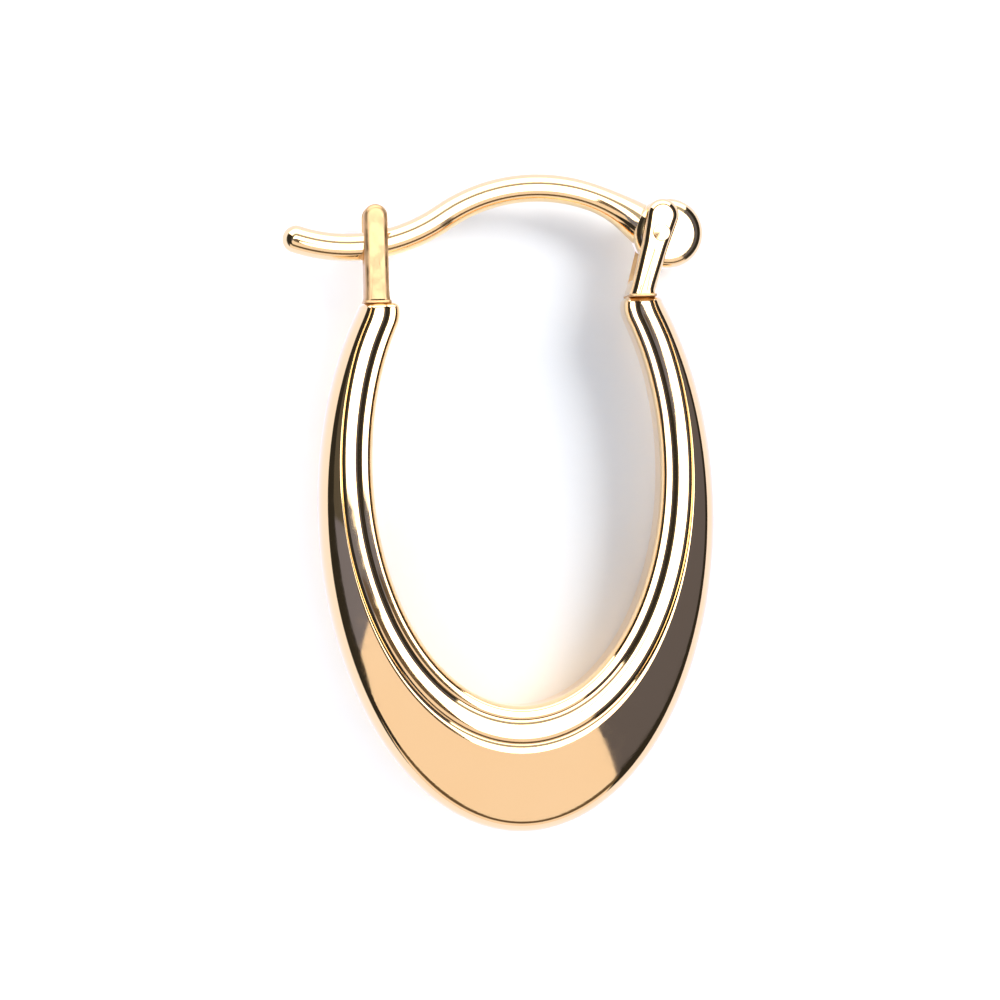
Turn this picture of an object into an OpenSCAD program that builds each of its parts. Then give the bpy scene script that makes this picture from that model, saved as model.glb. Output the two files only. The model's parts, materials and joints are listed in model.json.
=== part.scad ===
// Creole hoop earring with a hinged ear wire, lying on its side.
// X crosses the hoop, Y runs from its belly to the ear wire, and Z is its depth.

/* [Hoop] */
// Width over the outer oval
hoop_w = 11.9; // [11:0.1:13]
// Height of the whole outer oval, before its top is cut off
hoop_h = 19.26; // [18:0.1:21]
// Width of the inner oval, where the ear goes
opening_w = 8.6; // [8:0.05:8.8]
// Height of the whole inner oval
opening_h = 14.28; // [13.6:0.05:14.8]
// Height of the inner oval's centre above the outer one's
opening_rise = 1.31; // [1.1:0.05:1.5]
// Height of the two cut ends above the outer oval's centre
ends_y = 6.38; // [6.2:0.02:6.5]
// Depth at the bottom of the belly, front to back
belly_depth = 2.7; // [2.2:0.1:3.2]
// Depth at the two cut ends
end_depth = 1.9; // [1.8:0.1:2.1]

/* [Ribs and band] */
// Width of the rib next to the opening
inner_rib_w = 0.42; // [0.36:0.02:0.46]
// Width of the main rib at the ends
main_rib_w = 0.52; // [0.46:0.02:0.6]
// How much wider the main rib is at the belly
main_rib_growth = 0.2; // [0:0.02:0.3]
// Depth of the crease between the two ribs at the ends
crease_depth = 0.056; // [0.04:0.002:0.07]
// How much deeper the crease is at the belly
crease_growth = 0.022; // [0:0.002:0.04]
// Depth of the groove between the main rib and the band, at the ends
groove_depth = 0.062; // [0.05:0.002:0.08]
// How much deeper the groove is at the belly
groove_growth = 0.03; // [0:0.002:0.04]
// Width of the rounded outer edge
edge_w = 0.33; // [0.25:0.01:0.4]
// Slope of the band next to the main rib, in degrees
band_slope = 15; // [10:1:18]
// How much steeper the band is at the outer edge, in degrees
band_turn = 8; // [2:1:10]

/* [Catch] */
// Width of the catch
catch_w = 0.72; // [0.6:0.02:0.8]
// Height of its rounded top above the hoop's ends
catch_h = 2.88; // [2.6:0.02:3.1]
// Depth over its two arms
catch_depth = 1.6; // [1.55:0.05:1.7]
// Width of the slot that the ear wire drops into
slot_w = 1; // [0.96:0.01:1.05]

/* [Hinge] */
// Width of the round knuckle on the ear wire
knuckle_w = 2.1; // [1.9:0.02:2.14]
// Depth of the knuckle
knuckle_depth = 1.44; // [1.3:0.02:1.5]
// Thickness of each yoke arm
yoke_t = 0.33; // [0.28:0.01:0.4]
// Diameter of the hinge pin
pin_d = 0.38; // [0.34:0.01:0.42]
// Running clearance in the hinge
hinge_gap = 0.03; // [0.02:0.005:0.05]

/* [Ear wire] */
// Diameter of the ear wire
wire_d = 0.84; // [0.8:0.01:0.9]
// Direction in which the wire leaves the knuckle, in degrees from +X
wire_heading = 160.7; // [159:0.1:162]

/* [Hidden] */
$fn = 48;

GOLD = "#e8b978";
PALE_GOLD = "#f0cf93";

// The wire's bends from the knuckle to its tip: length along the wire, and turn to the left in degrees
LENGTH = 0;
TURN = 1;
BENDS = [
    [1.03, -17.3],
    [6.10, 70],
    [4.62, -52.7]
];

// Where the parts stand, from the centre of the outer oval
HINGE_X = 4.5;
HINGE_Y = 8.2;
KNUCKLE_X = 4.76;
KNUCKLE_Y = 8.2;
WIRE_X = 4.66;
CATCH_X = -4.02;

// The yoke's arms lean outward from a square foot through two rounds: x, y and radius
YOKE_FOOT_X = 3.88;
yoke_foot_w = 0.7;
yoke_foot_h = 0.3;
ARM_X = 0;
ARM_Y = 1;
ARM_R = 2;
YOKE_ARM = [
    [4.32, 7.85, 0.4],
    [4.56, 8.72, 0.49]
];

// Each end of the hoop is rounded over, drawn in by this share at its top
dome_h = 0.2;
dome_inset = 0.7;
DOME_ANGLES = [20, 40, 60, 80];

// A thin cap closes each end: from and to in X, thickness, and how far it stands out past its fork
LEFT_CAP = [-4.43, -3.5];
RIGHT_CAP = [3.48, 4.5];
cap_t = 0.08;
cap_margin = 0.03;
// How far a soldered foot reaches into its cap
solder = 0.02;
shoulder_y = ends_y - cap_t / 2 - dome_h;

// Stations along the hoop
stations = 64;

outer_rx = hoop_w / 2;
outer_ry = hoop_h / 2;
inner_rx = opening_w / 2;
inner_ry = opening_h / 2;
inner_end = asin((shoulder_y - opening_rise) / inner_ry);

// The inner corner of each end is rounded off over this width and height
nip_w = 0.39;
nip_h = 0.8;

// Below this height under the ends, the sections turn level to meet the flat ends
level_h = 3;

// Shape of the ribs' tops and of the opening's wall: 2 is an oval, and more is fuller
rib_fullness = 3;
wall_fullness = 2.4;
inner_rib_rise = 0.046;
inner_rib_drop = 0.5;
band_drop = 0.04;
lip_w = 0.012;
lip_growth = 0.18;
least_band_w = 0.06;
// Where the edge's oval begins at the ends, and how much later at the belly, in degrees
edge_start = 12;
edge_turn = 6;
// Places of the section's points, as shares of each feature's width, or angles
WALL_ANGLES = [0, 20, 40, 60, 78];
RIB_SHARES = [0, 0.45, 0.75, 1];
LIP_SHARES = [0.4, 1];
BAND_SHARES = [0.33, 0.67, 1];
EDGE_SHARES = [0.2, 0.4, 0.6, 0.8, 1];

pin_r = pin_d / 2;
pin_play = 0.01;
pin_hole_r = pin_r + pin_play;
bore_r = pin_r + hinge_gap;
head_r = 0.26;
head_t = 0.05;
head_gap = 0.01;
yoke_gap = knuckle_depth + 2 * hinge_gap;
yoke_depth = yoke_gap + 2 * yoke_t;

// Heights above the hoop's ends
saddle_h = 0.42;
slot_floor_h = 1.08;
saddle_y = ends_y + saddle_h;
slot_floor_y = ends_y + slot_floor_h;

// Shape of the knuckle: 2 is an oval, and more is fuller
knuckle_fullness = 5;
KNUCKLE_ANGLES = [0, 6, 15, 28, 45, 62, 75, 84];

wire_r = wire_d / 2;
// The wire thickens towards the knuckle, over this length and up to this radius
root_growth = 0.42;
root_l = 2.4;
root_r = 0.66;
wire_sides = 16;
// Largest turn between two rings of the wire, in degrees
wire_step = 5;
TIP_ANGLES = [20, 40, 60, 80];
// Long enough for any cut to pass right through
through = 10;

// Places along the wire from bend i on, each with its x, y and heading
X = 0;
Y = 1;
HEADING = 2;
function places_from(i, place) =
    i == len(BENDS) ? [] :
    let (
        turn = BENDS[i][TURN],
        bend_r = BENDS[i][LENGTH] / (turn * PI / 180),
        steps = ceil(abs(turn) / wire_step),
        h = place[HEADING],
        places = [
            for (k = [1:steps])
                let (a = h + turn * k / steps)
                [place[X] + bend_r * (sin(a) - sin(h)), place[Y] + bend_r * (cos(h) - cos(a)), a]
        ]
    )
    concat(places, places_from(i + 1, places[steps - 1]));

WIRE_START = [WIRE_X, KNUCKLE_Y, wire_heading];
WIRE_PATH = concat([WIRE_START], places_from(0, WIRE_START));

function radius_at(place) =
    let (away = norm([place[X] - WIRE_START[X], place[Y] - WIRE_START[Y]]))
    min(root_r, wire_r + root_growth * pow(max(0, 1 - away / root_l), 2));

// The earring's outline, from the centre of the outer oval
left_x = min([for (place = WIRE_PATH) place[X]]) - wire_r;
right_x = outer_rx;
low_y = -outer_ry;
top_y = max([for (place = WIRE_PATH) place[Y]]) + wire_r;

// Angle round the inner oval at share s of the way from the left end to the right, by way of the belly
function sweep_angle(s) = 180 - inner_end + s * (180 + 2 * inner_end);

function nip(y) = nip_w * pow(max(0, (y - ends_y + nip_h) / nip_h), 2);

function inner_point(s) =
    let (
        t = sweep_angle(s),
        x = inner_rx * cos(t),
        y = opening_rise + inner_ry * sin(t)
    )
    [x + sign(x) * nip(y), y];

// Where the section at s meets the outer oval: square to the opening, and level at the ends
function outer_point(s) =
    let (
        p = inner_point(s),
        t = sweep_angle(s),
        level = pow(max(0, (p[1] - shoulder_y + level_h) / level_h), 2),
        dx = cos(t) / inner_rx,
        dy = (1 - level) * sin(t) / inner_ry,
        a = pow(dx / outer_rx, 2) + pow(dy / outer_ry, 2),
        b = p[0] * dx / pow(outer_rx, 2) + p[1] * dy / pow(outer_ry, 2),
        c = pow(p[0] / outer_rx, 2) + pow(p[1] / outer_ry, 2) - 1,
        reach = (sqrt(b * b - a * c) - b) / a
    )
    [p[0] + reach * dx, p[1] + reach * dy];

// 0 at the cut ends and 1 at the bottom of the belly
function belly_share(s) = (ends_y - outer_point(s)[1]) / (ends_y + outer_ry);

function half_depth(s) = (end_depth + (belly_depth - end_depth) * sin(90 * belly_share(s))) / 2;

// The parts of the section's front half, from the opening to the outer edge: distance across, and height
function inner_wall(foot, crest_h) = [
    for (t = WALL_ANGLES)
        let (full = 2 / wall_fullness)
        [foot / 2 * (1 - pow(cos(t), full)), crest_h - inner_rib_drop * (1 - pow(sin(t), full))]
];

function inner_rib(foot, crest_h) = [
    for (u = RIB_SHARES)
        [foot / 2 * (1 + u), crest_h - inner_rib_rise * pow(u, rib_fullness)]
];

function main_rib(foot, groove, h, crease, drop) =
    let (crest = (foot + groove) / 2, half = (groove - foot) / 2)
    concat(
        [for (i = [len(RIB_SHARES) - 2:-1:1])
            [crest - RIB_SHARES[i] * half, h - crease * pow(RIB_SHARES[i], rib_fullness)]],
        [for (u = RIB_SHARES)
            [crest + u * half, h - drop * pow(u, rib_fullness)]]
    );

function lip_line(groove, lip, h, drop) = [
    for (u = LIP_SHARES)
        [groove + u * lip, h - band_drop - (drop - band_drop) * pow(1 - u, 2)]
];

// The band's height at distance x from the lip, where its whole width is w
function band_h(h, x, w) =
    h - band_drop - tan(band_slope) * x - (tan(band_slope + band_turn) - tan(band_slope)) * x * x / (2 * w);

function outer_edge(w, edge, edge_h, share) =
    let (
        start = edge_start + edge_turn * share,
        rx = edge / (1 - sin(start)),
        ry = edge_h / cos(start)
    )
    [
        for (u = EDGE_SHARES)
            let (t = start + u * (90 - start))
            [w - rx * (1 - sin(t)), ry * cos(t)]
    ];

function front_half(w, h, share) =
    let (
        main_w = main_rib_w + main_rib_growth * pow(share, 3),
        k = min(1, w / (inner_rib_w + main_w + edge_w + least_band_w)),
        foot = k * inner_rib_w,
        groove = foot + k * main_w,
        turn = w - k * edge_w,
        lip = min(k * (lip_w + lip_growth * share * share), (turn - groove) / 2),
        band_w = turn - groove - lip,
        crease = crease_depth + crease_growth * share,
        drop = groove_depth + groove_growth * share,
        crest_h = h - crease + inner_rib_rise
    )
    concat(
        inner_wall(foot, crest_h),
        inner_rib(foot, crest_h),
        main_rib(foot, groove, h, crease, drop),
        lip_line(groove, lip, h, drop),
        [for (u = BAND_SHARES) [groove + lip + u * band_w, band_h(h, u * band_w, band_w)]],
        outer_edge(w, w - turn, band_h(h, band_w, band_w), share)
    );

function mirrored_back(front) = [
    for (i = [len(front) - 2:-1:0]) [front[i][0], -front[i][1]]
];

function ring(s) =
    let (
        a = inner_point(s),
        b = outer_point(s),
        w = norm(b - a),
        across = (b - a) / w,
        front = front_half(w, half_depth(s), belly_share(s))
    )
    [
        for (p = concat(front, mirrored_back(front)))
            [a[0] + across[0] * p[0], a[1] + across[1] * p[0], p[1]]
    ];

// The ring at an end, drawn in towards its middle and raised to round the end over
function dome_ring(s, a) =
    let (
        mid = (inner_point(s) + outer_point(s)) / 2,
        k = 1 - dome_inset * (1 - cos(a))
    )
    [for (p = ring(s)) [mid[0] + k * (p[0] - mid[0]), mid[1] + dome_h * sin(a), k * p[2]]];

// A closed solid through a row of rings that all have the same number of points
module swept(rings) {
    n = len(rings[0]);
    last = len(rings) - 1;
    sides = [
        for (i = [0:last - 1], j = [0:n - 1])
            let (k = (j + 1) % n)
            [i * n + j, (i + 1) * n + j, (i + 1) * n + k, i * n + k]
    ];
    first_cap = [for (j = [0:n - 1]) j];
    last_cap = [for (j = [n - 1:-1:0]) last * n + j];
    polyhedron(points = [for (r = rings) each r], faces = concat(sides, [first_cap, last_cap]));
}

module hoop_body() {
    last = len(DOME_ANGLES) - 1;
    swept(concat(
        [for (i = [last:-1:0]) dome_ring(0, DOME_ANGLES[i])],
        [for (i = [0:stations]) ring(i / stations)],
        [for (i = [0:last]) dome_ring(1, DOME_ANGLES[i])]
    ));
}

// A flat plate over one end, deep enough to carry its fork
module cap(span, fork_depth) {
    depth = fork_depth + 2 * cap_margin;
    translate([span[0], ends_y - cap_t, -depth / 2])
        cube([span[1] - span[0], cap_t, depth]);
}

// A post with a rounded top, slotted from above so that the ear wire drops in
module catch() {
    round_y = ends_y + catch_h - catch_w / 2;
    foot_y = ends_y - solder;
    difference() {
        linear_extrude(catch_depth, center = true)
            hull() {
                translate([CATCH_X, round_y])
                    circle(d = catch_w);
                translate([CATCH_X - catch_w / 2, foot_y])
                    square([catch_w, solder]);
            }
        translate([CATCH_X, slot_floor_y + slot_w / 2, 0])
            rotate([0, 90, 0])
                cylinder(d = slot_w, h = 2 * catch_w, center = true);
        translate([CATCH_X - catch_w, slot_floor_y + slot_w / 2, -slot_w / 2])
            cube([2 * catch_w, catch_h, slot_w]);
    }
}

module arm_round(i) {
    translate([YOKE_ARM[i][ARM_X], YOKE_ARM[i][ARM_Y]])
        circle(r = YOKE_ARM[i][ARM_R]);
}

// Two leaning arms on one foot, with a hole through both for the pin
module yoke() {
    difference() {
        linear_extrude(yoke_depth, center = true) {
            hull() {
                translate([YOKE_FOOT_X - yoke_foot_w / 2, ends_y - solder])
                    square([yoke_foot_w, yoke_foot_h]);
                arm_round(0);
            }
            hull() {
                arm_round(0);
                arm_round(1);
            }
        }
        translate([KNUCKLE_X - knuckle_w, saddle_y, -yoke_gap / 2])
            cube([2 * knuckle_w, through, yoke_gap]);
        translate([HINGE_X, HINGE_Y, 0])
            cylinder(r = pin_hole_r, h = through, center = true);
    }
}

// Rings round the wire's path, then smaller rings that round off its tip
function wire_ring(place, ahead, r) = [
    for (j = [0:wire_sides - 1])
        let (
            t = 360 * j / wire_sides,
            heading = place[HEADING],
            side = r * cos(t)
        )
        [
            place[X] + ahead * cos(heading) - side * sin(heading),
            place[Y] + ahead * sin(heading) + side * cos(heading),
            r * sin(t)
        ]
];

module wire() {
    tip = WIRE_PATH[len(WIRE_PATH) - 1];
    rings = concat(
        [for (place = WIRE_PATH) wire_ring(place, 0, radius_at(place))],
        [for (a = TIP_ANGLES) wire_ring(tip, wire_r * sin(a), wire_r * cos(a))]
    );
    swept(rings);
}

// A flattened ball, with the hinge off its middle
module knuckle() {
    full = 2 / knuckle_fullness;
    front = [
        for (t = KNUCKLE_ANGLES)
            [knuckle_w / 2 * pow(cos(t), full), knuckle_depth / 2 * pow(sin(t), full)]
    ];
    top = [[0, knuckle_depth / 2], [0, -knuckle_depth / 2]];
    back = [for (i = [len(front) - 1:-1:1]) [front[i][0], -front[i][1]]];
    rotate_extrude()
        polygon(concat(front, top, back));
}

// Lays the earring on its side, with the origin under the middle of its outline
module laid() {
    translate([-(left_x + right_x) / 2, -(low_y + top_y) / 2, belly_depth / 2])
        children();
}

module hoop() {
    color(GOLD)
        union() {
            hoop_body();
            cap(LEFT_CAP, catch_depth);
            catch();
            cap(RIGHT_CAP, yoke_depth);
            yoke();
        }
}

module hinge_pin() {
    head_z = yoke_depth / 2 + head_gap;
    color(PALE_GOLD)
        translate([HINGE_X, HINGE_Y, 0]) {
            cylinder(r = pin_r, h = 2 * head_z + head_t, center = true);
            for (side = [-1, 1])
                translate([0, 0, side * (head_z + head_t / 2)])
                    cylinder(r = head_r, h = head_t, center = true);
        }
}

module ear_wire() {
    color(PALE_GOLD)
        difference() {
            union() {
                translate([KNUCKLE_X, KNUCKLE_Y, 0])
                    knuckle();
                wire();
            }
            translate([HINGE_X, HINGE_Y, 0])
                cylinder(r = bore_r, h = through, center = true);
        }
}

laid() hoop();
laid() hinge_pin();
laid() ear_wire();
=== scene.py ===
import json
import math

import bpy
import numpy as np
from mathutils import Matrix, Vector


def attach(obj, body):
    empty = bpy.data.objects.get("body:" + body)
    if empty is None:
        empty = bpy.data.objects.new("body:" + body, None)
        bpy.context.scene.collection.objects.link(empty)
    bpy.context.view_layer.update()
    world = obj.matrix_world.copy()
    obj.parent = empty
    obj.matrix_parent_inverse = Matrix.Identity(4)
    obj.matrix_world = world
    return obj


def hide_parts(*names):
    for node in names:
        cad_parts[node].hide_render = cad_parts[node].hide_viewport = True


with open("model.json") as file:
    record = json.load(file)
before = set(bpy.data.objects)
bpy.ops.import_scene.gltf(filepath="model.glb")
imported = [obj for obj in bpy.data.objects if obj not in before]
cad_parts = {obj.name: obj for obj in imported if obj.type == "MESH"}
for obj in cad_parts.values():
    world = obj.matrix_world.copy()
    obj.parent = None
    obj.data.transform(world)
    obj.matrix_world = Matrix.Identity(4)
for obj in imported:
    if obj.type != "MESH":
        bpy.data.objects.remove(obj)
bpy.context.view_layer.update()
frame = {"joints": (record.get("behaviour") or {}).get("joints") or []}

MM = 0.001

# Sizes of the earring in millimetres, from the centre of its outer oval, as the part has them
HOOP_W, HOOP_H = 11.9, 19.26
OPENING_W, OPENING_H = 8.6, 14.28
OPENING_RISE = 1.31
ENDS_Y = 6.38
BELLY_DEPTH, END_DEPTH = 2.7, 1.9

INNER_RIB_W, INNER_RIB_RISE, INNER_RIB_DROP = 0.42, 0.046, 0.5
MAIN_RIB_W, MAIN_RIB_GROWTH = 0.52, 0.2
CREASE_DEPTH, CREASE_GROWTH = 0.056, 0.022
GROOVE_DEPTH, GROOVE_GROWTH = 0.062, 0.03
RIB_FULLNESS, WALL_FULLNESS = 3.0, 2.4
EDGE_W, EDGE_START, EDGE_TURN = 0.33, 12, 6
BAND_DROP = 0.04
BAND_SLOPE, BAND_TURN = math.radians(15), math.radians(8)
LIP_W, LIP_GROWTH = 0.012, 0.18
LEAST_BAND_W = 0.06
NIP_W, NIP_H = 0.39, 0.8

CAP_T, CAP_MARGIN, CAP_CORNER_R, CAP_EASE = 0.08, 0.03, 0.12, 0.03
DOME_H, DOME_INSET = 0.2, 0.5
LEFT_CAP, RIGHT_CAP = (-4.43, -3.6), (3.5, 4.32)
# The catch and the yoke sink a little into the caps, and the solder spreads at their feet
SOLDER_Y = ENDS_Y - 0.02
SOLDER_SPREAD, SOLDER_H = 0.04, 0.09
# Roundings left by the file and the wheel, and a flat rim inside them, which keeps the faces flat to the eye
CATCH_EASE, YOKE_EASE, SLOT_EASE, FLAT_RIM = 0.16, 0.24, 0.03, 0.03

CATCH_X, CATCH_W, CATCH_H, CATCH_DEPTH = -4.02, 0.72, 2.88, 1.6
SLOT_W, SLOT_FLOOR_H = 1.0, 1.08
# How far the cut for the slot reaches past the catch, and the cut for the yoke's gap above the ends of the hoop
SLOT_PAST, GAP_CUT_H = 1.0, 4.0

HINGE_X, HINGE_Y = 4.5, 8.2
KNUCKLE_X, KNUCKLE_Y = 4.76, 8.2
KNUCKLE_W, KNUCKLE_DEPTH, KNUCKLE_FULLNESS = 2.1, 1.44, 5.0
HINGE_GAP, YOKE_T, GAP_CORNER_R = 0.03, 0.33, 0.05
YOKE_GAP = KNUCKLE_DEPTH + 2 * HINGE_GAP
YOKE_DEPTH = YOKE_GAP + 2 * YOKE_T
SADDLE_H = 0.42
YOKE_DISCS = ((3.88, ENDS_Y, 0.35), (4.32, 7.85, 0.4), (4.56, 8.72, 0.49))
PIN_R, HEAD_R, HEAD_RISE, HEAD_GAP = 0.19, 0.26, 0.02, 0.01

# A hair thinner than the part's wire, which has flats
WIRE_R = 0.417
TIP_REACH = 0.4
WIRE_START = 4.66, KNUCKLE_Y
ROOT_GROWTH, ROOT_L, ROOT_R = 0.42, 2.4, 0.657
WIRE_HEADING = math.radians(160.7)
# Length along the wire, and turn to the left in degrees
WIRE_BENDS = ((1.03, -17.3), (6.10, 70), (4.62, -52.7))

# The part's frame: the hinge is where the joint says
HINGE = Vector(frame["joints"][0]["pos_m"])


def to_frame(points):
    """Points in millimetres from the centre of the outer oval, as places in the part's frame in metres."""
    hinge_mm = np.array([HINGE_X, HINGE_Y, 0])
    return (np.asarray(points, float) - hinge_mm) * MM + np.array(HINGE)


def put_in_scene(name, data):
    obj = bpy.data.objects.new(name, data)
    bpy.context.scene.collection.objects.link(obj)
    return obj


# Meshes
def plain_mesh(name, points, faces):
    mesh = bpy.data.meshes.new(name)
    mesh.from_pydata(points, [], faces)
    return mesh


def smooth_piece(name, points, faces, uv):
    """A smooth piece through points in millimetres; uv gives each point's place along and around it."""
    mesh = plain_mesh(name, to_frame(points).tolist(), faces)
    mesh.update()
    mesh.validate()
    layer = mesh.uv_layers.new(name="along")
    corners = np.empty(len(mesh.loops), int)
    mesh.loops.foreach_get("vertex_index", corners)
    layer.data.foreach_set("uv", uv[corners].ravel())
    mesh.polygons.foreach_set("use_smooth", [True] * len(mesh.polygons))
    return put_in_scene(name, mesh)


def swept(name, rings, flip=False):
    """A closed skin through rings that all have the same number of points, with a fan over each end."""
    rings = np.asarray(rings, float)
    count, sides = rings.shape[:2]
    points = np.concatenate([rings.reshape(-1, 3), rings[[0, -1]].mean(axis=1)])
    first_hub, last_hub = count * sides, count * sides + 1
    faces = []
    for i in range(count - 1):
        for j in range(sides):
            k = (j + 1) % sides
            faces.append((i * sides + j, i * sides + k, (i + 1) * sides + k, (i + 1) * sides + j))
    for j in range(sides):
        k = (j + 1) % sides
        faces.append((first_hub, k, j))
        faces.append((last_hub, (count - 1) * sides + j, (count - 1) * sides + k))
    if flip:
        faces = [face[::-1] for face in faces]
    middles = rings.mean(axis=1)
    along = np.concatenate([[0], np.cumsum(np.linalg.norm(np.diff(middles, axis=0), axis=1))])
    steps = np.linalg.norm(np.roll(rings, -1, axis=1) - rings, axis=2)
    around = np.concatenate([np.zeros((count, 1)), np.cumsum(steps, axis=1)[:, :-1]], axis=1)
    uv = np.stack([np.repeat(along[:, None], sides, axis=1), around], axis=2).reshape(-1, 2)
    uv = np.concatenate([uv, [[along[0], 0], [along[-1], 0]]])
    return smooth_piece(name, points, faces, uv)


def combine(obj, other, operation):
    """Joins other to obj, or cuts it out of obj, and throws other away."""
    modifier = obj.modifiers.new("combine", "BOOLEAN")
    modifier.operation = operation
    modifier.solver = "EXACT"
    modifier.object = other
    bake(obj)
    mesh = other.data
    bpy.data.objects.remove(other)
    bpy.data.meshes.remove(mesh)


def bake(obj):
    """Turns obj's modifiers into its own mesh."""
    graph = bpy.context.evaluated_depsgraph_get()
    mesh = bpy.data.meshes.new_from_object(obj.evaluated_get(graph))
    obj.modifiers.clear()
    old = obj.data
    obj.data = mesh
    mesh.name = obj.name
    bpy.data.meshes.remove(old)


# Edges that turn by more than this count as sharp
SHARP = math.radians(40)


def ease_edges(obj, width):
    """Rounds the sharp edges of obj by that width in millimetres."""
    modifier = obj.modifiers.new("ease", "BEVEL")
    modifier.width = width * MM
    modifier.segments = 3
    modifier.limit_method = "ANGLE"
    modifier.angle_limit = SHARP
    # Keeps the flat faces flat to the eye, up to the rounding
    modifier.harden_normals = True
    bake(obj)
    obj.data.polygons.foreach_set("use_smooth", [True] * len(obj.data.polygons))
    obj.data.set_sharp_from_angle(angle=SHARP)


# Hoop
OUTER_RX, OUTER_RY = HOOP_W / 2, HOOP_H / 2
INNER_RX, INNER_RY = OPENING_W / 2, OPENING_H / 2
SHOULDER_Y = ENDS_Y - CAP_T / 2 - DOME_H
LEVEL_H = 3.0
INNER_END = math.asin((SHOULDER_Y - OPENING_RISE) / INNER_RY)
# Rings along the hoop, and steps along each part of its section
STATIONS = 440
RIB_STEPS, LIP_STEPS, BAND_STEPS, EDGE_STEPS = 12, 8, 16, 16
# The wall stops just short of the crest, where the rib's own line starts
WALL_END = 86
DOME_TURNS = np.radians(np.linspace(8, 80, 10))


def sweep_angle(s):
    """Angle round the opening at share s of the way from the left end to the right, by way of the belly."""
    return math.pi - INNER_END + s * (math.pi + 2 * INNER_END)


def inner_point(s):
    """Where the section at s starts, on the oval of the opening, which nips in at the ends."""
    t = sweep_angle(s)
    x = INNER_RX * math.cos(t)
    y = OPENING_RISE + INNER_RY * math.sin(t)
    nip = NIP_W * max(0, (y - ENDS_Y + NIP_H) / NIP_H) ** 2
    return np.array([x + math.copysign(nip, x), y])


def outer_point(s):
    """Where the section at s meets the outer oval: square to the opening, and level at the ends."""
    x, y = inner_point(s)
    t = sweep_angle(s)
    level = max(0, (y - SHOULDER_Y + LEVEL_H) / LEVEL_H) ** 2
    dx, dy = math.cos(t) / INNER_RX, (1 - level) * math.sin(t) / INNER_RY
    a = (dx / OUTER_RX) ** 2 + (dy / OUTER_RY) ** 2
    b = x * dx / OUTER_RX**2 + y * dy / OUTER_RY**2
    c = (x / OUTER_RX) ** 2 + (y / OUTER_RY) ** 2 - 1
    reach = (math.sqrt(b**2 - a * c) - b) / a
    return np.array([x + reach * dx, y + reach * dy])


def arc(centre, rx, ry, start, end, steps):
    """Points along part of an oval, between two angles in degrees."""
    t = np.radians(np.linspace(start, end, steps + 1))
    return np.stack([centre[0] + rx * np.cos(t), centre[1] + ry * np.sin(t)], axis=1)


def front_half(w, h, share):
    """The section from the opening to the outer edge: distance across, and height."""
    main_w = MAIN_RIB_W + MAIN_RIB_GROWTH * share**3
    k = min(1, w / (INNER_RIB_W + main_w + EDGE_W + LEAST_BAND_W))
    foot = k * INNER_RIB_W
    groove = foot + k * main_w
    turn = w - k * EDGE_W
    lip = min(k * (LIP_W + LIP_GROWTH * share**2), (turn - groove) / 2)

    # Inner rib, from the wall of the opening over its crest and down to the crease
    crease_depth = CREASE_DEPTH + CREASE_GROWTH * share
    groove_depth = GROOVE_DEPTH + GROOVE_GROWTH * share
    crest_h = h - crease_depth + INNER_RIB_RISE
    t = np.radians(np.linspace(0, WALL_END, RIB_STEPS + 1))
    full = 2 / WALL_FULLNESS
    wall_h = crest_h - INNER_RIB_DROP * (1 - np.sin(t) ** full)
    wall = np.stack([foot / 2 * (1 - np.cos(t) ** full), wall_h], axis=1)
    u = np.linspace(0, 1, RIB_STEPS + 1)
    inner_rib = np.stack([foot / 2 * (1 + u), crest_h - INNER_RIB_RISE * u**RIB_FULLNESS], axis=1)

    # Main rib, between the crease and the groove
    u = np.linspace(-1, 1, 3 * RIB_STEPS + 1)[1:]
    drop = np.where(u < 0, crease_depth, groove_depth) * np.abs(u) ** RIB_FULLNESS
    main_rib = np.stack([(foot + groove) / 2 + u * (groove - foot) / 2, h - drop], axis=1)

    # Lip and band
    band_h = h - BAND_DROP
    u = np.linspace(0, 1, LIP_STEPS + 1)[1:]
    lip_line = np.stack([groove + lip * u, band_h - (groove_depth - BAND_DROP) * (1 - u) ** 2], axis=1)
    x = np.linspace(0, turn - groove - lip, BAND_STEPS + 1)[1:]
    bend = (math.tan(BAND_SLOPE + BAND_TURN) - math.tan(BAND_SLOPE)) / (2 * x[-1])
    band = np.stack([groove + lip + x, band_h - math.tan(BAND_SLOPE) * x - bend * x**2], axis=1)

    # Rounded outer edge, which goes on from the band's slope
    start = math.radians(EDGE_START + EDGE_TURN * share)
    rx, ry = (w - turn) / (1 - math.sin(start)), band[-1, 1] / math.cos(start)
    t = np.linspace(start, math.pi / 2, EDGE_STEPS + 1)[1:]
    edge = np.stack([w - rx * (1 - np.sin(t)), ry * np.cos(t)], axis=1)
    return np.concatenate([wall, inner_rib, main_rib, lip_line, band, edge])


def hoop_ring(s):
    """The whole section at s, front and back, in place; share runs from 0 at the ends to 1 at the belly."""
    a, b = inner_point(s), outer_point(s)
    w = np.linalg.norm(b - a)
    across = (b - a) / w
    share = (ENDS_Y - b[1]) / (ENDS_Y + OUTER_RY)
    h = (END_DEPTH + (BELLY_DEPTH - END_DEPTH) * math.sin(math.pi / 2 * share)) / 2
    front = front_half(w, h, share)
    section = np.concatenate([front, front[-2::-1] * [1, -1]])
    return np.column_stack([a + section[:, :1] * across, section[:, 1]])


def dome_ring(s, angle):
    """The ring at an end, drawn in towards its middle and raised to round the end over."""
    ring = hoop_ring(s)
    middle = np.append((inner_point(s) + outer_point(s)) / 2, 0)
    k = 1 - DOME_INSET * (1 - math.cos(angle))
    return middle + k * (ring - middle) + [0, DOME_H * math.sin(angle), 0]


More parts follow.
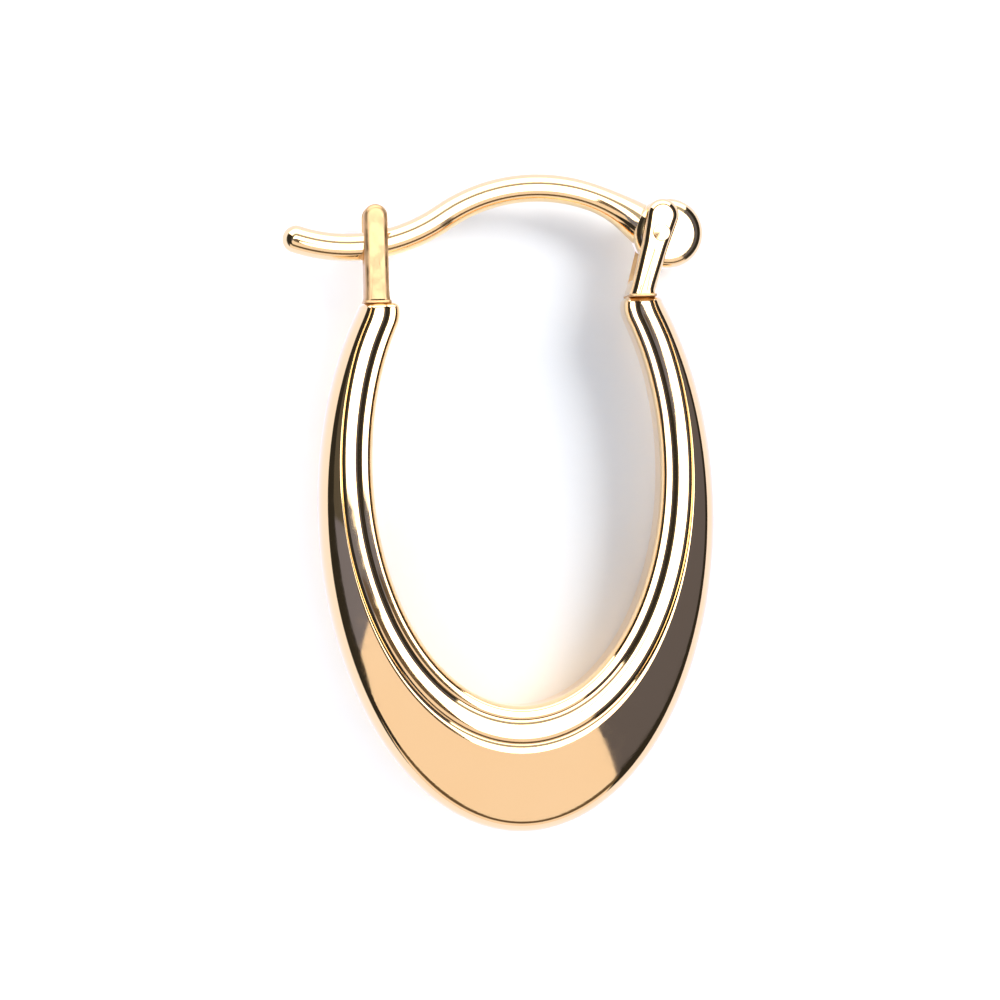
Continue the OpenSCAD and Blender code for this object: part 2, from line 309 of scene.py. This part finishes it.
def make_hoop():
    """The body of the hoop, rounded over at its two ends."""
    rings = [dome_ring(0, a) for a in DOME_TURNS[::-1]]
    rings += [hoop_ring(i / STATIONS) for i in range(STATIONS + 1)]
    rings += [dome_ring(1, a) for a in DOME_TURNS]
    body = swept("hoop_body", rings, flip=True)
    body.data.set_sharp_from_angle(angle=SHARP)
    return body


# Caps, catch and yoke
def inset(outline, by, cut_y=None):
    """A closed outline drawn in by a distance along its normals; where it is cut off at cut_y it only narrows."""
    ahead, behind = np.roll(outline, -1, axis=0), np.roll(outline, 1, axis=0)
    run = ahead - behind
    normal = np.stack([-run[:, 1], run[:, 0]], axis=1)
    normal /= np.linalg.norm(normal, axis=1)[:, None]
    if cut_y is not None:
        at_cut = np.isclose(outline[:, 1], cut_y)
        normal[at_cut] = np.sign(normal[at_cut]) * [1, 0]
    return outline + by * normal


def cushion(name, outline, low, high, ease, lay, cut_y=None):
    """A slab of that outline from low to high, with both rims rounded; lay puts (outline, level) in space."""
    turns = np.radians(np.linspace(0, 90, 9))
    layers = [(ease * (1 - math.sin(a)), low + ease * (1 - math.cos(a))) for a in turns]
    layers += [(ease * (1 - math.cos(a)), high - ease * (1 - math.sin(a))) for a in turns]
    layers = [(ease + FLAT_RIM, low)] + layers + [(ease + FLAT_RIM, high)]
    rings = [lay(inset(outline, by, cut_y), level) for by, level in layers]
    return swept(name, rings)


def flat_lay(outline, z):
    """An outline in x and y, at that height."""
    return np.column_stack([outline, np.full(len(outline), z)])


def upright_lay(outline, y):
    """An outline in z and x, at that y."""
    return np.column_stack([outline[:, 1], np.full(len(outline), y), outline[:, 0]])


def bar_outline(discs, levels=48, steps=60):
    """The outline of a bar that runs through discs of x, y and radius, cut off flat where it is soldered."""
    discs = np.array(discs)
    t = np.linspace(0, len(discs) - 1, steps * (len(discs) - 1) + 1)
    x, y, r = (np.interp(t, range(len(discs)), discs[:, k]) for k in range(3))
    top = (y + r).max()
    heights = top - (top - SOLDER_Y) * (np.linspace(0, 1, levels) ** 2)
    left, right = [], []
    for height in heights[1:]:
        reach = np.sqrt(np.clip(r**2 - (height - y) ** 2, 0, None))
        spread = SOLDER_SPREAD * math.exp(-(height - SOLDER_Y) / SOLDER_H)
        inside = reach > 0
        left.append(((x - reach)[inside].min() - spread, height))
        right.append(((x + reach)[inside].max() + spread, height))
    tip = x[np.argmax(y + r)], top
    return np.array([tip] + left + right[::-1])


def rounded_box(x0, x1, y0, y1, r, steps=8):
    """An oblong outline with rounded corners."""
    corners = ((x1 - r, y1 - r, 0), (x0 + r, y1 - r, 90), (x0 + r, y0 + r, 180), (x1 - r, y0 + r, 270))
    return np.concatenate([arc((x, y), r, r, a, a + 90, steps) for x, y, a in corners])


def make_cap(name, span, fork_depth):
    """The thin plate on an end of the hoop, over a span in x, as deep as the fork that it carries."""
    half = fork_depth / 2 + CAP_MARGIN
    outline = rounded_box(-half, half, span[0], span[1], CAP_CORNER_R)
    return cushion(name, outline, ENDS_Y - CAP_T, ENDS_Y, CAP_EASE, upright_lay)


def make_catch():
    """A post with a rounded top, slotted from above for the ear wire."""
    top_y = ENDS_Y + CATCH_H - CATCH_W / 2
    outline = bar_outline(((CATCH_X, ENDS_Y, CATCH_W / 2), (CATCH_X, top_y, CATCH_W / 2)))
    post = cushion("catch", outline, -CATCH_DEPTH / 2, CATCH_DEPTH / 2, CATCH_EASE, flat_lay, SOLDER_Y)
    floor_y = ENDS_Y + SLOT_FLOOR_H
    slot = arc((0, floor_y + SLOT_W / 2), SLOT_W / 2, SLOT_W / 2, 180, 360, steps=32)
    slot = np.concatenate([slot, [[SLOT_W / 2, floor_y + CATCH_H], [-SLOT_W / 2, floor_y + CATCH_H]]])
    sides = CATCH_X + SLOT_PAST, CATCH_X - SLOT_PAST
    rings = [np.column_stack([np.full(len(slot), x), slot[:, 1], slot[:, 0]]) for x in sides]
    combine(post, swept("slot", rings), "DIFFERENCE")
    ease_edges(post, SLOT_EASE)
    return post


def make_yoke():
    """Two leaning arms on one foot, with the gap for the knuckle between them."""
    outline = bar_outline(YOKE_DISCS)
    yoke = cushion("yoke", outline, -YOKE_DEPTH / 2, YOKE_DEPTH / 2, YOKE_EASE, flat_lay, SOLDER_Y)
    x0, x1 = KNUCKLE_X - KNUCKLE_W, KNUCKLE_X + KNUCKLE_W
    gap = rounded_box(x0, x1, ENDS_Y + SADDLE_H, ENDS_Y + GAP_CUT_H, GAP_CORNER_R)
    combine(yoke, swept("gap", [flat_lay(gap, z) for z in (-YOKE_GAP / 2, YOKE_GAP / 2)]), "DIFFERENCE")
    ease_edges(yoke, SLOT_EASE)
    return yoke


def lathe(name, profile, centre, steps=64):
    """A solid turned about an axis along Z: profile is radius and height, from its top to its bottom."""
    t = np.linspace(0, 2 * math.pi, steps, endpoint=False)
    x, y = np.cos(t), np.sin(t)
    rings = [np.stack([centre[0] + r * x, centre[1] + r * y, np.full(steps, z)], axis=1) for r, z in profile]
    return swept(name, rings, flip=True)


def make_pin():
    """The rivet, with a low domed head on each arm of the yoke."""
    face = YOKE_DEPTH / 2 + HEAD_GAP
    # Rings of the dome, from near its middle to its rim
    u = np.linspace(0.06, 1, 12)
    dome = np.stack([HEAD_R * u, face + HEAD_RISE * np.cos(math.pi / 2 * u)], axis=1)
    profile = np.concatenate([dome, [[PIN_R, face]], [[PIN_R, -face]], dome[::-1] * [1, -1]])
    return lathe("hinge_pin_riveted", profile, (HINGE_X, HINGE_Y))


# Ear wire
# Rings over the rounded tip and over half the knuckle, which fans close
TIP_TURNS = np.radians(np.linspace(8, 86, 12))
KNUCKLE_TURNS = np.radians(np.linspace(0, 89.5, 36))
KNUCKLE_SIDES = 96
# The knuckle's edge along the bore stays crisp
BORE_SHARP = math.radians(30)


def wire_places(step=math.radians(1.5)):
    """Places along the wire from the knuckle to its tip: x, y and heading."""
    x, y, heading = *WIRE_START, WIRE_HEADING
    places = [(x, y, heading)]
    for length, degrees in WIRE_BENDS:
        turn = math.radians(degrees)
        radius = length / turn
        count = math.ceil(abs(turn) / step)
        for k in range(1, count + 1):
            a = heading + turn * k / count
            ahead, aside = math.sin(a) - math.sin(heading), math.cos(heading) - math.cos(a)
            places.append((x + radius * ahead, y + radius * aside, a))
        x, y, heading = places[-1]
    return places


def wire_ring(place, ahead, r, sides=48):
    """A round section of the wire, a distance ahead of a place on it."""
    x, y, heading = place
    t = np.linspace(0, 2 * math.pi, sides, endpoint=False)
    side = r * np.cos(t)
    return np.stack([
        x + ahead * math.cos(heading) - side * math.sin(heading),
        y + ahead * math.sin(heading) + side * math.cos(heading),
        r * np.sin(t),
    ], axis=1)


def radius_at(place):
    """The wire thickens towards the knuckle."""
    away = math.dist(place[:2], WIRE_START)
    return min(ROOT_R, WIRE_R + ROOT_GROWTH * max(0, 1 - away / ROOT_L) ** 2)


def make_ear_wire():
    """The bent wire and its flattened ball, bored for the pin."""
    places = wire_places()
    tip = places[-1]
    rings = [wire_ring(place, 0, radius_at(place)) for place in places]
    for a in TIP_TURNS:
        rings.append(wire_ring(tip, TIP_REACH * math.sin(a), WIRE_R * math.cos(a)))
    wire = swept("ear_wire_bent", rings)
    half, r = KNUCKLE_DEPTH / 2, KNUCKLE_W / 2
    full = 2 / KNUCKLE_FULLNESS
    front = np.stack([r * np.cos(KNUCKLE_TURNS) ** full, half * np.sin(KNUCKLE_TURNS) ** full], axis=1)
    profile = np.concatenate([front[::-1], front[1:] * [1, -1]])
    knuckle = lathe("knuckle", profile, (KNUCKLE_X, KNUCKLE_Y), KNUCKLE_SIDES)
    combine(wire, knuckle, "UNION")
    bore_r, reach = PIN_R + HINGE_GAP, KNUCKLE_DEPTH
    combine(wire, lathe("bore", [(bore_r, reach), (bore_r, -reach)], (HINGE_X, HINGE_Y)), "DIFFERENCE")
    wire.data.set_sharp_from_angle(angle=BORE_SHARP)
    return wire


# Materials
def srgb(code):
    """A hex colour as linear red, green, blue and alpha."""
    values = [int(code[i:i + 2], 16) / 255 for i in (1, 3, 5)]
    return [v / 12.92 if v <= 0.04045 else ((v + 0.055) / 1.055) ** 2.4 for v in values] + [1.0]


def add(tree, kind, settings=(), **sockets):
    """Adds a node with its settings, and sets or links its input sockets by name."""
    node = tree.nodes.new(kind)
    for key, value in dict(settings).items():
        setattr(node, key, value)
    for key, value in sockets.items():
        socket = node.inputs[key.replace("_", " ")]
        if isinstance(value, bpy.types.NodeSocket):
            tree.links.new(value, socket)
        else:
            socket.default_value = value
    return node


def new_material(name):
    """An empty material and its node tree."""
    material = bpy.data.materials.new(name)
    material.use_nodes = True
    material.node_tree.nodes.clear()
    return material, material.node_tree


def stamped_gold():
    """9 carat yellow gold sheet, stamped in steel dies and buffed on a wheel: clear, slightly wavy reflections,
    fine buffing lines that run along the hoop, and a faint haze that comes and goes."""
    material, tree = new_material("gold_sheet_stamped_and_buffed")
    place = add(tree, "ShaderNodeTexCoord").outputs
    # Alloy and wax leave the colour uneven over 2 to 3 mm
    cloud = add(tree, "ShaderNodeTexNoise", Vector=place["Object"], Scale=400, Detail=2)
    colour = add(tree, "ShaderNodeMix", {"data_type": "RGBA"}, Factor=cloud.outputs["Fac"],
                 A=srgb("#fbd7a2"), B=srgb("#fcdcab"))
    # Buffing haze in patches of 0.4 mm
    haze = add(tree, "ShaderNodeTexNoise", Vector=place["Object"], Scale=2500, Detail=4)
    roughness = add(tree, "ShaderNodeMapRange", Value=haze.outputs["Fac"],
                    From_Min=0.35, From_Max=0.75, To_Min=0.035, To_Max=0.09)
    # The die leaves waves about 1.5 mm long; buffing lines are 0.04 mm wide and 1.5 mm long, drawn ten times
    # coarser than the grit so that they show
    waves = add(tree, "ShaderNodeTexNoise", Vector=place["Object"], Scale=650, Detail=0)
    wavy = add(tree, "ShaderNodeBump", Height=waves.outputs["Fac"], Distance=4e-6, Strength=1)
    along = add(tree, "ShaderNodeMapping", Vector=place["UV"], Scale=(0.7, 25, 1))
    lines = add(tree, "ShaderNodeTexNoise", Vector=along.outputs["Vector"], Scale=1, Detail=3)
    fine = add(tree, "ShaderNodeBump", Height=lines.outputs["Fac"], Distance=2e-7, Strength=1,
               Normal=wavy.outputs["Normal"])
    shader = add(tree, "ShaderNodeBsdfPrincipled", Base_Color=colour.outputs["Result"], Metallic=1.0,
                 Roughness=roughness.outputs["Result"], Normal=fine.outputs["Normal"])
    add(tree, "ShaderNodeOutputMaterial", Surface=shader.outputs["BSDF"])
    return material


def drawn_wire():
    """9 carat gold wire, drawn through a die and polished: straight draw lines along it, cut short by rubbing."""
    material, tree = new_material("gold_wire_drawn_and_polished")
    place = add(tree, "ShaderNodeTexCoord").outputs
    # Rubbed patches of 0.5 mm
    rub = add(tree, "ShaderNodeTexNoise", Vector=place["Object"], Scale=1800, Detail=3)
    roughness = add(tree, "ShaderNodeMapRange", Value=rub.outputs["Fac"],
                    From_Min=0.3, From_Max=0.7, To_Min=0.05, To_Max=0.13)
    # Draw lines 0.05 mm apart and several mm long
    along = add(tree, "ShaderNodeMapping", Vector=place["UV"], Scale=(0.25, 20, 1))
    lines = add(tree, "ShaderNodeTexNoise", Vector=along.outputs["Vector"], Scale=1, Detail=3)
    drawn = add(tree, "ShaderNodeBump", Height=lines.outputs["Fac"], Distance=3e-7, Strength=1)
    shader = add(tree, "ShaderNodeBsdfPrincipled", Base_Color=srgb("#fbdcaa"), Metallic=1.0,
                 Roughness=roughness.outputs["Result"], Normal=drawn.outputs["Normal"])
    add(tree, "ShaderNodeOutputMaterial", Surface=shader.outputs["BSDF"])
    return material


def soldered_gold():
    """Gold castings soldered on and finished by hand: a soft satin with small file and pickling marks."""
    material, tree = new_material("gold_findings_soldered_satin")
    place = add(tree, "ShaderNodeTexCoord").outputs
    # Heat and pickle leave paler and duller patches of 0.4 mm
    bloom = add(tree, "ShaderNodeTexNoise", Vector=place["Object"], Scale=2400, Detail=3)
    patches = add(tree, "ShaderNodeMapRange", Value=bloom.outputs["Fac"], From_Min=0.3, From_Max=0.7)
    colour = add(tree, "ShaderNodeMix", {"data_type": "RGBA"}, Factor=patches.outputs["Result"],
                 A=srgb("#d0a877"), B=srgb("#e2c094"))
    roughness = add(tree, "ShaderNodeMapRange", Value=bloom.outputs["Fac"],
                    From_Min=0.4, From_Max=0.6, To_Min=0.36, To_Max=0.58)
    # File marks of 0.1 mm
    marks = add(tree, "ShaderNodeTexNoise", Vector=place["Object"], Scale=9000, Detail=2)
    filed = add(tree, "ShaderNodeBump", Height=marks.outputs["Fac"], Distance=2.5e-6, Strength=1)
    shader = add(tree, "ShaderNodeBsdfPrincipled", Base_Color=colour.outputs["Result"], Metallic=1.0,
                 Roughness=roughness.outputs["Result"], Normal=filed.outputs["Normal"])
    add(tree, "ShaderNodeOutputMaterial", Surface=shader.outputs["BSDF"])
    return material


def riveted_pin():
    """Gold pin, its ends spread with a hammer and rubbed down: shallow dents under a light polish."""
    material, tree = new_material("gold_pin_riveted")
    place = add(tree, "ShaderNodeTexCoord").outputs
    # Dents of 0.2 mm
    dents = add(tree, "ShaderNodeTexNoise", Vector=place["Object"], Scale=6000, Detail=1)
    roughness = add(tree, "ShaderNodeMapRange", Value=dents.outputs["Fac"], To_Min=0.1, To_Max=0.2)
    beaten = add(tree, "ShaderNodeBump", Height=dents.outputs["Fac"], Distance=1.5e-6, Strength=1)
    shader = add(tree, "ShaderNodeBsdfPrincipled", Base_Color=srgb("#fad3a0"), Metallic=1.0,
                 Roughness=roughness.outputs["Result"], Normal=beaten.outputs["Normal"])
    add(tree, "ShaderNodeOutputMaterial", Surface=shader.outputs["BSDF"])
    return material


def matt_paper():
    """White background paper: matt, with a faint fibre grain."""
    material, tree = new_material("paper_white_matt")
    place = add(tree, "ShaderNodeTexCoord").outputs
    # Clumps of fibre, 1 mm across
    fibre = add(tree, "ShaderNodeTexNoise", Vector=place["Object"], Scale=900, Detail=4)
    colour = add(tree, "ShaderNodeMix", {"data_type": "RGBA"}, Factor=fibre.outputs["Fac"],
                 A=srgb("#f6f6f6"), B=srgb("#f9f9f9"))
    shader = add(tree, "ShaderNodeBsdfPrincipled", Base_Color=colour.outputs["Result"], Roughness=0.9)
    add(tree, "ShaderNodeOutputMaterial", Surface=shader.outputs["BSDF"])
    return material


# Camera
LOOK_AT = Vector((-0.043, 0.101, 1.35)) * MM
# How far the earring is turned in the photo, and how far to the left of straight above the camera stands
LEAN = math.radians(1.5)
CAMERA_SHIFT = math.radians(4)
# Width of the view at the earring, in millimetres
FRAME_MM = 30.0
LENS, SENSOR = 200.0, 36.0


def make_camera():
    """A long lens almost straight above the earring, which is how the photo sees it."""
    data = bpy.data.cameras.new("camera")
    data.lens, data.sensor_width = LENS, SENSOR
    data.clip_start, data.clip_end = 0.01, 10
    camera = put_in_scene("camera", data)
    right = Vector((math.cos(LEAN), -math.sin(LEAN), 0))
    up = Vector((math.sin(LEAN), math.cos(LEAN), 0))
    back = (Vector((0, 0, 1)) * math.cos(CAMERA_SHIFT) - right * math.sin(CAMERA_SHIFT)).normalized()
    side = up.cross(back).normalized()
    turn = Matrix((side, up, back)).transposed().to_4x4()
    turn.translation = LOOK_AT + back * (FRAME_MM * MM * LENS / SENSOR)
    camera.matrix_world = turn
    bpy.context.scene.camera = camera


# Studio
# Each card stands this share nearer than the one before it
CARD_DISTANCE, CARD_STEP = 700 * MM, 0.015
WHITE, CREAM, PEACH, TAN = (4.0,) * 3, (3.0,) * 3, (1.0, 0.905, 0.9), (0.5,) * 3
BROWN, BLACK, GREY, DARK_GREY = (0.1,) * 3, (0.03,) * 3, (0.19, 0.21, 0.34), (0.125, 0.13, 0.19)
DUSK, LOW_BROWN = (0.13, 0.1, 0.08), (0.14, 0.11, 0.08)
# Painted reflection of overexposed paper, a sheet that glows in the polish only, and how high above the floor it
# lies
TABLE, TABLE_Z = (1.1, 1.12, 1.42), 0.02 * MM
# Cards that show in the polish only, each in front of the ones before it: colour, then its lower edge and its
# upper edge, each as the azimuth from and to in degrees from +X, and the elevation from and to
CARDS = (
    ("overhead", WHITE, (0, 360, 64, 64), (0, 360, 90, 90)),
    ("mid_front", PEACH, (195, 304, 20, 20), (195, 306, 64, 64)),
    ("mid_left", GREY, (180, 208, 36, 36), (180, 195, 64, 64)),
    ("mid_right", DARK_GREY, (304, 412, 36, 36), (306, 412, 64, 64)),
    ("upper_left", BROWN, (140, 180, 36, 36), (140, 180, 64, 64)),
    ("top_far", TAN, (52, 140, 44, 44), (52, 140, 64, 64)),
    ("top", CREAM, (52, 140, 0, 0), (52, 140, 44, 44)),
    ("low_left", BLACK, (140, 188, 0, 0), (140, 188, 47, 47)),
    ("low_bend", BLACK, (188, 228, 0, 0), (188, 206, 47, 45)),
    ("low_right", BLACK, (306, 412, 0, 0), (306, 412, 42, 42)),
    ("low_corner", BLACK, (206, 225, 22, 22), (206, 225, 45, 38)),
    ("low_front", LOW_BROWN, (225, 306, 22, 22), (225, 306, 38, 38)),
    ("front", PEACH, (228, 306, 0, 0), (215, 306, 22, 22)),
)
# Flat flags overhead, which darken the outer half of the main rib on its left: corners as degrees off the pole
# in X and Y
FLAG_HEIGHT = 540 * MM
FLAGS = (
    ("notch", GREY, ((-1.2, 3.9), (-30, 3.1), (-30, -6), (-1.2, 2.2))),
    ("taper", DUSK, ((-1.2, 2.2), (-30, -6), (-27, -12), (-11, -25), (-8.1, -13.5), (-3.5, -2.9), (-3.4, 0.5))),
)

SKY_COLOUR, SKY_STRENGTH = (0.9, 0.98, 1.11, 1), 0.74
LIGHT_DISTANCE = 0.3
# Lights for the paper: azimuth and elevation in degrees, diameter in metres, and watts
LIGHTS = (
    ("key", 35, 42, 0.14, 0.65),
    ("low_light_left", 180, 12, 0.08, 1.7),
    ("low_light_right", -10, 12, 0.08, 0.4),
)
FLOOR_REACH = 1.5

# The cards stand round the direction that a level surface reflects to the camera
CARD_TILT = Matrix.Rotation(CAMERA_SHIFT, 3, "Y")


def direction(azimuth, elevation):
    """Unit vector towards an azimuth from +X and an elevation, in degrees."""
    az, el = math.radians(azimuth), math.radians(elevation)
    return Vector((math.cos(az) * math.cos(el), math.sin(az) * math.cos(el), math.sin(el)))


def polish_only(name, points, faces, colour):
    """A card that glows and shows in nothing but reflections."""
    card = put_in_scene(name, plain_mesh(name, points, faces))
    material, tree = new_material(name)
    glow = add(tree, "ShaderNodeEmission", Color=(*colour, 1), Strength=1.0)
    add(tree, "ShaderNodeOutputMaterial", Surface=glow.outputs["Emission"])
    card.data.materials.append(material)
    card.visible_camera = False
    card.visible_diffuse = False
    card.visible_shadow = False
    card.visible_transmission = False


def make_card(name, colour, low, high, distance):
    """A curved card between two edges, as CARDS gives them."""
    columns, rows = 24, 10
    points, faces = [], []
    for i in range(rows + 1):
        az0, az1, el0, el1 = np.array(low) + (np.array(high, float) - low) * i / rows
        for j in range(columns + 1):
            towards = direction(az0 + (az1 - az0) * j / columns, el0 + (el1 - el0) * j / columns)
            points.append(CARD_TILT @ (towards * distance))
    for i in range(rows):
        for j in range(columns):
            a = i * (columns + 1) + j
            faces.append((a, a + 1, a + columns + 2, a + columns + 1))
    polish_only(name, points, faces, colour)


def make_flag(name, colour, corners):
    """A flat flag through corners, as FLAGS gives them."""
    slopes = np.tan(np.radians(corners))
    places = [CARD_TILT @ Vector((x, y, 1)) * FLAG_HEIGHT for x, y in slopes]
    polish_only(name, places, [range(len(corners))], colour)


def make_table():
    """A glowing sheet round the hoop that paints a reflection of bright paper into the polish; inside it, the
    polish shows the floor with its shadow.
    """
    steps, margin, reach = 96, 0.05, 300
    inner = arc((0, 0), OUTER_RX + margin, OUTER_RY + margin, 0, 360, steps)[:-1]
    outer = arc((0, 0), reach, reach, 0, 360, steps)[:-1]
    points = to_frame(np.column_stack([np.concatenate([inner, outer]), np.zeros(2 * steps)]))
    points[:, 2] = TABLE_Z
    faces = [(j, (j + 1) % steps, steps + (j + 1) % steps, steps + j) for j in range(steps)]
    polish_only("painted_paper_reflection", points.tolist(), faces, TABLE)


def make_floor():
    """The sheet of paper that the earring lies on."""
    corners = [(x * FLOOR_REACH, y * FLOOR_REACH, 0) for x, y in ((-1, -1), (1, -1), (1, 1), (-1, 1))]
    floor = put_in_scene("floor", plain_mesh("floor", corners, [(0, 1, 2, 3)]))
    floor.data.materials.append(matt_paper())


def make_light(name, azimuth, elevation, size, energy):
    """A round soft light, which the polish doesn't show."""
    data = bpy.data.lights.new(name, "AREA")
    data.shape, data.size, data.energy = "DISK", size, energy
    light = put_in_scene(name, data)
    back = direction(azimuth, elevation)
    light.location = back * LIGHT_DISTANCE
    light.rotation_euler = back.to_track_quat("Z", "Y").to_euler()
    light.visible_glossy = False


def make_studio():
    """Everything round the earring: the paper, what the polish shows, the lights and the sky."""
    make_floor()
    for k, card in enumerate(CARDS):
        make_card(*card, CARD_DISTANCE * (1 - CARD_STEP * k))
    for flag in FLAGS:
        make_flag(*flag)
    # A painted reflection of bright paper round the hoop
    make_table()
    for light in LIGHTS:
        make_light(*light)

    world = bpy.data.worlds.new("studio")
    bpy.context.scene.world = world
    world.use_nodes = True
    world.node_tree.nodes.clear()
    sky = add(world.node_tree, "ShaderNodeBackground", Color=SKY_COLOUR, Strength=SKY_STRENGTH)
    add(world.node_tree, "ShaderNodeOutputWorld", Surface=sky.outputs["Background"])


# How nearly a face must lie level to count as one of the gap's sides
LEVEL = 0.9


def leave_satin(yoke, satin):
    """Gives the faces inside the yoke's gap the darker satin: partly a finish that no wheel reaches, partly
    painted shade between the arms.
    """
    yoke.data.materials.append(satin)
    for face in yoke.data.polygons:
        inside = abs(face.center.z - HINGE.z) < (YOKE_GAP / 2 + HINGE_GAP) * MM
        if inside and abs(face.normal.z) > LEVEL:
            face.material_index = 1


# The earring, put together
stamped, drawn, soldered, rivet = stamped_gold(), drawn_wire(), soldered_gold(), riveted_pin()

hoop_body = make_hoop()
left_cap = make_cap("left_cap", LEFT_CAP, CATCH_DEPTH)
right_cap = make_cap("right_cap", RIGHT_CAP, YOKE_DEPTH)
catch = make_catch()
yoke = make_yoke()
pin = make_pin()
ear_wire = make_ear_wire()

finishes = {hoop_body: stamped, yoke: stamped, catch: soldered, left_cap: soldered, right_cap: soldered}
for piece, finish in finishes.items():
    piece.data.materials.clear()
    piece.data.materials.append(finish)
    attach(piece, "hoop")
# The gap's inner faces take the darker satin: partly a finish no wheel reaches, partly painted shade between the
# arms
leave_satin(yoke, soldered)

pin.data.materials.append(rivet)
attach(pin, "hoop")
ear_wire.data.materials.clear()
ear_wire.data.materials.append(drawn)
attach(ear_wire, "ear_wire")
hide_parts("hoop")
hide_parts("hinge_pin")
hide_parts("ear_wire")

make_camera()
make_studio()
bpy.context.scene.view_settings.view_transform = "Standard"
